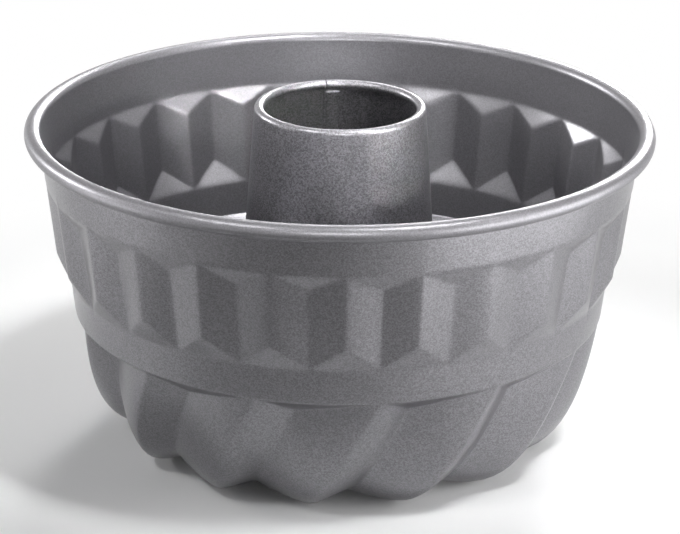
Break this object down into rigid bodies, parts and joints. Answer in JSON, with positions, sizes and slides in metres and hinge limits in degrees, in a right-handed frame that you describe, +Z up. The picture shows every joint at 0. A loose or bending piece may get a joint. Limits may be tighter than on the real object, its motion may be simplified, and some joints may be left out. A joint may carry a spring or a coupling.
{
  "type": "kugelhopf mould",
  "caption": "Ring-shaped baking mould of grey coated steel sheet with a rolled rim, a faceted band, twisted flutes and a seamed chimney at its centre.",
  "frame": {"origin": "on the axis of the chimney, in the plane that the lobes stand on", "axes": "+Z up along the chimney's axis, -Y towards the side seen in the picture, +X to the right of that view"},
  "size_m": [0.2198, 0.2198, 0.1212],
  "materials": {
    "shell_coating": "satin metallic grey non-stick coating with a fine sparkling grain",
    "chimney_coating": "satin metallic grey non-stick coating, a little lighter and coarser in grain"
  },
  "bodies": {
    "root": {"shell": "shell_coating", "chimney": "chimney_coating"}
  },
  "joints": []
}
